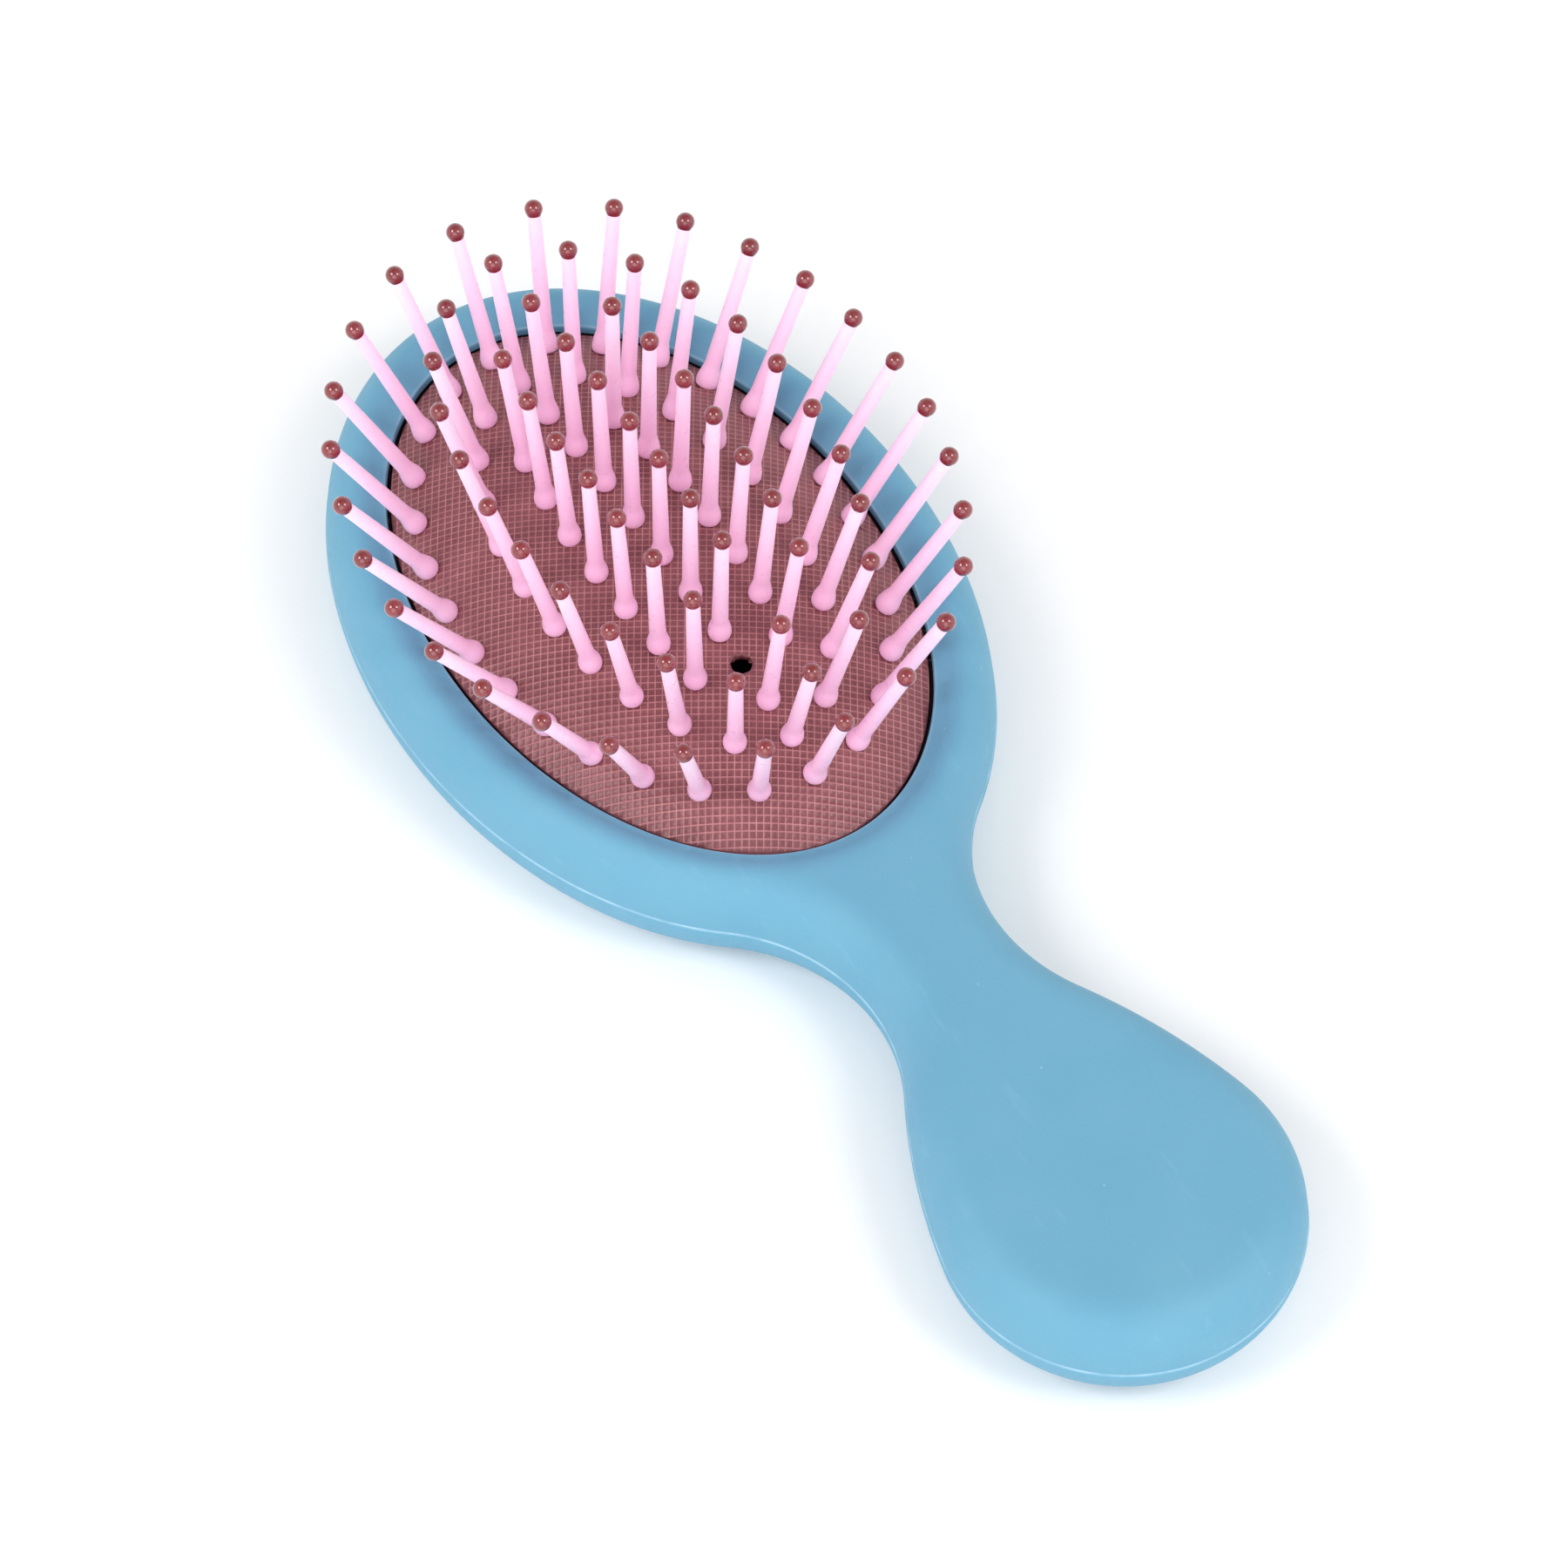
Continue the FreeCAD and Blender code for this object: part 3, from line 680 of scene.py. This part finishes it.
def make_copies(name, profile, segments, stands):
    """One mesh of turned copies, each at a point and along a direction."""
    local, local_faces = turned(profile, segments)
    points, faces, along, each = [], [], [], []
    for number, (x, y, direction) in enumerate(stands):
        turn = Vector((0, 0, 1)).rotation_difference(direction).to_matrix()
        foot = (x, y, dome_height(x, y))
        points.append(local @ np.array(turn).T + foot)
        first = number * len(local)
        faces += [tuple(first + i for i in face) for face in local_faces]
        along.append(np.clip(local[:, 2] / PIN_LENGTH, 0, 1))
        each.append(np.full(len(local), (number * 0.618 + x * 0.37 + y * 0.11) % 1.0))
    piece = make_piece(name, np.concatenate(points), faces, 50)
    add_attribute(piece.data, "along", np.concatenate(along))
    add_attribute(piece.data, "each", np.concatenate(each))
    return piece


# ---------------------------------------------------------------- materials
def linear(*colour):
    """A colour given as 0 to 255 on a screen, in Blender's linear values."""
    steps = [c / 255 for c in colour]
    return tuple(c / 12.92 if c <= 0.04045 else ((c + 0.055) / 1.055) ** 2.4 for c in steps) + (1,)


class Look:
    """A procedural material, with short ways to add its nodes."""

    def __init__(self, name):
        self.material = bpy.data.materials.new(name)
        self.material.use_nodes = True
        self.tree = self.material.node_tree
        self.shader = next(n for n in self.tree.nodes if n.type == "BSDF_PRINCIPLED")
        coordinates = self.tree.nodes.new("ShaderNodeTexCoord")
        self.place = coordinates.outputs["Object"]

    def node(self, kind, inputs=(), **settings):
        """A node with its settings and its inputs, each a value or another node's output."""
        made = self.tree.nodes.new(kind)
        for key, value in settings.items():
            setattr(made, key, value)
        for key, value in dict(inputs).items():
            self.put(made.inputs[key], value)
        return made

    def put(self, socket, value):
        if isinstance(value, bpy.types.NodeSocket):
            self.tree.links.new(value, socket)
        else:
            socket.default_value = value

    def noise(self, size_mm, detail=3.0, stretch=(1, 1, 1), rough=0.5):
        """Noise whose features are about a size in millimetres, 0 to 1."""
        scaled = self.node("ShaderNodeMapping", {"Vector": self.place, "Scale": stretch})
        texture = self.node("ShaderNodeTexNoise", {
            "Vector": scaled.outputs["Vector"], "Scale": 1 / (size_mm * MM),
            "Detail": detail, "Roughness": rough,
        })
        return texture.outputs[0]

    def spots(self, spacing_mm):
        """Distance to the nearest of many scattered spots, in shares of their spacing."""
        texture = self.node("ShaderNodeTexVoronoi", {
            "Vector": self.place, "Scale": 1 / (spacing_mm * MM),
        })
        return texture.outputs["Distance"]

    def attribute(self, name):
        return self.node("ShaderNodeAttribute", attribute_name=name).outputs["Fac"]

    def span(self, value, low, high, to_low=0.0, to_high=1.0):
        """A value carried from one range to another and held inside it."""
        made = self.node("ShaderNodeMapRange", {
            "Value": value, "From Min": low, "From Max": high, "To Min": to_low, "To Max": to_high,
        })
        return made.outputs[0]

    def mix(self, share, first, second):
        """One colour going to another."""
        made = self.node("ShaderNodeMix", data_type="RGBA")
        self.put(made.inputs[0], share)
        self.put(made.inputs[6], first)
        self.put(made.inputs[7], second)
        return made.outputs[2]

    def times(self, first, second):
        return self.node("ShaderNodeMath", {0: first, 1: second}, operation="MULTIPLY").outputs[0]

    def bump(self, *layers):
        """Stacks height maps, each (height, depth in millimetres, strength)."""
        normal = None
        for height, depth, strength in layers:
            inputs = {"Height": height, "Distance": depth * MM, "Strength": strength}
            if normal is not None:
                inputs["Normal"] = normal
            normal = self.node("ShaderNodeBump", inputs).outputs[0]
        self.put(self.shader.inputs["Normal"], normal)

    def finish(self, **inputs):
        for key, value in inputs.items():
            self.put(self.shader.inputs[key.replace("_", " ")], value)
        return self.material


def body_blue():
    """Soft-touch moulded plastic: fine grain, faint flow marks, a few rubbed spots, and a painted
    highlight along the moulded edges.
    """
    look = Look("body_blue")
    broad = look.noise(9, 2)
    grain = look.noise(0.22, 4)
    scuffs = look.noise(1.6, 5, (1, 0.16, 1), 0.65)
    rubbed = look.span(scuffs, 0.60, 0.72)
    base = look.mix(look.span(broad, 0.3, 0.7), linear(*BODY_BLUE), linear(*BODY_BLUE_WARM))
    speckled = look.mix(look.span(grain, 0.3, 0.7, 0.0, 0.12), base, linear(*GRAIN_BLUE))
    scuffed = look.mix(look.times(rubbed, 0.14), speckled, linear(*SCUFF_BLUE))
    specks = look.span(look.spots(3.2), 0.035, 0.015)
    flecked = look.mix(look.times(specks, 0.55), scuffed, linear(*FLECK_BLUE))
    # Painted highlight: a pale line along the parting plane and round the opening, broken up by noise,
    # where the edges catch the light.
    pale_lines = look.times(look.attribute("edge"), look.span(look.noise(2.5, 3), 0.3, 0.6, 0.35, 0.9))
    colour = look.mix(pale_lines, flecked, linear(*EDGE_HIGHLIGHT_BLUE))
    look.bump((grain, 0.05, 0.22), (look.noise(0.9, 3), 0.05, 0.12), (scuffs, 0.03, 0.10))
    return look.finish(
        Base_Color=colour, Roughness=look.span(look.noise(0.5, 4), 0.3, 0.7, 0.50, 0.62),
        Specular_IOR_Level=0.3,
    )


def inner_plastic():
    """Plain dark moulding, unpolished."""
    look = Look("inner_plastic")
    grain = look.noise(0.4, 4)
    colour = look.mix(look.span(look.noise(5, 3), 0.3, 0.7), linear(*INNER_DARK), linear(*INNER_GREY))
    look.bump((grain, 0.04, 0.3))
    return look.finish(Base_Color=colour, Roughness=look.span(grain, 0.3, 0.7, 0.5, 0.68))


def cushion_rubber():
    """Rubber with a fine square net: dark cells, paler worn lines, dust in the weave, and painted shade
    on the fold under the frame.
    """
    look = Look("cushion_rubber")
    line = look.attribute("line")
    broad = look.noise(5, 3)
    fine = look.noise(0.18, 4)
    cell = look.mix(look.span(broad, 0.3, 0.7), linear(*CELL_RED), linear(*CELL_MAUVE))
    pale_lines = look.mix(look.span(look.noise(1.2, 4), 0.3, 0.7), linear(*LINE_MAUVE), linear(*LINE_PINK))
    colour = look.mix(look.span(line, 0.1, 0.9), cell, pale_lines)
    dusty = look.mix(look.span(fine, 0.45, 0.8, 0.0, 0.30), colour, linear(*DUST_MAUVE))
    # Painted shade: the fold beside and under the frame goes near-black, as the shadow in the gap.
    fold_shaded = look.mix(look.attribute("fold"), dusty, linear(*FOLD_SHADE))
    look.bump((fine, 0.03, 0.35), (look.noise(0.7, 3), 0.05, 0.25))
    return look.finish(
        Base_Color=fold_shaded, Roughness=look.span(line, 0.0, 0.6, 0.32, 0.60), Specular_IOR_Level=0.4,
    )


def pin_pink():
    """Satin nylon with moulding streaks and dulled patches, darker towards the foot as painted shade and
    paler towards the lit tip.
    """
    look = Look("pin_pink")
    along = look.attribute("along")
    each = look.attribute("each")
    streaks = look.noise(0.5, 4, (1, 1, 0.12))
    # Painted shade: darker towards the foot, where the pins stand close together over the cushion, and
    # paler towards the lit tip.
    base = look.mix(look.span(along, 0.0, 0.9), linear(*PIN_FOOT_SHADED), linear(*PIN_TIP))
    varied = look.mix(look.span(each, 0.0, 1.0, 0.0, 0.25), base, linear(*PIN_WARM))
    colour = look.mix(look.span(streaks, 0.4, 0.8, 0.0, 0.15), varied, linear(*PIN_STREAK))
    look.bump((streaks, 0.02, 0.25), (look.noise(0.15, 3), 0.01, 0.2))
    return look.finish(
        Base_Color=colour, Roughness=look.span(look.noise(0.6, 3), 0.3, 0.7, 0.26, 0.40),
        Subsurface_Weight=0.15, Subsurface_Scale=0.0008, Specular_IOR_Level=0.5,
    )


def ball_red():
    """Dipped glossy tip, with a slightly uneven coat."""
    look = Look("ball_red")
    each = look.attribute("each")
    mottle = look.noise(0.35, 4)
    base = look.mix(look.span(each, 0.0, 1.0), linear(*BALL_RED), linear(*BALL_ROSE))
    colour = look.mix(look.span(mottle, 0.35, 0.75, 0.0, 0.2), base, linear(*BALL_MOTTLE))
    look.bump((mottle, 0.02, 0.15), (look.noise(0.12, 3), 0.006, 0.15))
    return look.finish(
        Base_Color=colour, Roughness=look.span(look.noise(0.3, 3), 0.3, 0.7, 0.10, 0.20),
        Coat_Weight=1.0, Coat_Roughness=0.03,
    )


def paper():
    """The pale surface that the brush lies on."""
    look = Look("paper")
    fibres = look.noise(0.8, 4)
    shade = look.span(look.noise(60, 2), 0.3, 0.7)
    colour = look.mix(shade, (0.93, 0.93, 0.93, 1), (0.96, 0.96, 0.96, 1))
    look.bump((fibres, 0.02, 0.1))
    return look.finish(Base_Color=colour, Roughness=look.span(fibres, 0.3, 0.7, 0.75, 0.9))


# ---------------------------------------------------------------- the object
def place(piece, material, slot, body, *nodes):
    """A finished piece: its material, a slot name that is not used, the nodes it stands for, and its
    body.
    """
    piece.data.materials.clear()
    piece.data.materials.append(material)
    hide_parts(*nodes)
    if body:
        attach(piece, body)
    return piece


def build_brush():
    """Every shown piece of the brush."""
    blue = body_blue()
    front = make_shell("frame_and_handle_front", FRONT_REACH, FRONT_RISE, FRONT_POWER, 1,
                       FRONT_HOLLOW, True)
    place(front, blue, "body_blue", "casing", "front_shell")
    back = make_shell("back_cover", BACK_REACH, BACK_DEPTH, BACK_POWER, -1, BACK_HOLLOW, False)
    place(back, blue, "body_blue", "casing", "back_shell")
    clamp_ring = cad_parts["clamp_ring"]
    clamp_ring.data.materials.clear()
    clamp_ring.data.materials.append(inner_plastic())

    groups = pin_groups()
    pad = make_cushion([point for points in groups.values() for point in points])
    place(pad, cushion_rubber(), "cushion_rubber", None, "cushion_pad")
    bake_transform(pad)

    pink = pin_pink()
    red = ball_red()
    rng = np.random.default_rng(7)
    for group, points in groups.items():
        stands = [(x, y, lean(rng, x, y)) for x, y in points]
        pins = make_copies(f"pin_set_{group}", pin_profile(), TURNED_SEGMENTS, stands)
        place(pins, pink, "pin_pink", group, f"pins_{group}")
        balls = make_copies(f"ball_set_{group}", ball_profile(), TURNED_SEGMENTS, stands)
        place(balls, red, "ball_red", group, f"balls_{group}")


# ---------------------------------------------------------------- floor, light and camera
def build_stage():
    """A wide pale floor just under the brush."""
    mesh = bpy.data.meshes.new("floor")
    corners = [(-1, -1), (1, -1), (1, 1), (-1, 1)]
    points = [(x * FLOOR_REACH, y * FLOOR_REACH, -FLOOR_GAP) for x, y in corners]
    mesh.from_pydata(points, [], [(0, 1, 2, 3)])
    mesh.materials.append(paper())
    floor = bpy.data.objects.new("floor", mesh)
    bpy.context.scene.collection.objects.link(floor)


def build_light(back, right, up, target):
    """A bright horizon under a dimmer sky, and soft boxes about the camera."""
    world = bpy.data.worlds.new("studio")
    bpy.context.scene.world = world
    world.use_nodes = True
    tree = world.node_tree
    background = next(n for n in tree.nodes if n.type == "BACKGROUND")
    background.inputs["Color"].default_value = (1, 1, 1, 1)
    coordinates = tree.nodes.new("ShaderNodeTexCoord")
    parts = tree.nodes.new("ShaderNodeSeparateXYZ")
    ramp = tree.nodes.new("ShaderNodeMapRange")
    ramp.inputs["From Min"].default_value = 0.0
    ramp.inputs["From Max"].default_value = 1.0
    ramp.inputs["To Min"].default_value = SKY_HORIZON
    ramp.inputs["To Max"].default_value = SKY_ZENITH
    tree.links.new(coordinates.outputs["Generated"], parts.inputs[0])
    tree.links.new(parts.outputs["Z"], ramp.inputs["Value"])
    tree.links.new(ramp.outputs[0], background.inputs["Strength"])
    for name, (swing, lift, size, distance, power) in SOFT_BOXES.items():
        swing, lift = math.radians(swing), math.radians(lift)
        level = back * math.cos(swing) + right * math.sin(swing)
        direction = level * math.cos(lift) + up * math.sin(lift)
        light = bpy.data.lights.new(name, "AREA")
        light.shape = "DISK"
        light.size = size
        light.energy = power
        box = bpy.data.objects.new(name, light)
        box.location = target + direction * distance
        box.rotation_mode = "QUATERNION"
        box.rotation_quaternion = direction.to_track_quat("Z", "Y")
        bpy.context.scene.collection.objects.link(box)


def build_camera(back, target):
    """A long lens on the camera's side of the brush, level with the horizon."""
    data = bpy.data.cameras.new("camera")
    data.lens = CAMERA_LENS
    data.sensor_width = 36
    data.clip_start, data.clip_end = 0.01, 20
    camera = bpy.data.objects.new("camera", data)
    camera.location = target + back * CAMERA_DISTANCE
    camera.rotation_mode = "QUATERNION"
    camera.rotation_quaternion = back.to_track_quat("Z", "Y")
    bpy.context.scene.collection.objects.link(camera)
    bpy.context.scene.camera = camera


def camera_axes():
    """The directions from the target to the camera, and to the camera's right."""
    azimuth, elevation = (math.radians(angle) for angle in CAMERA_ANGLES)
    level = math.cos(elevation)
    back = Vector((math.sin(azimuth) * level, -math.cos(azimuth) * level, math.sin(elevation)))
    right = Vector((math.cos(azimuth), math.sin(azimuth), 0))
    return back, right


build_brush()
build_stage()
back, right = camera_axes()
target = Vector(CAMERA_TARGET)
build_light(back, right, back.cross(right), target)
build_camera(back, target)
bpy.context.scene.view_settings.view_transform = "Standard"
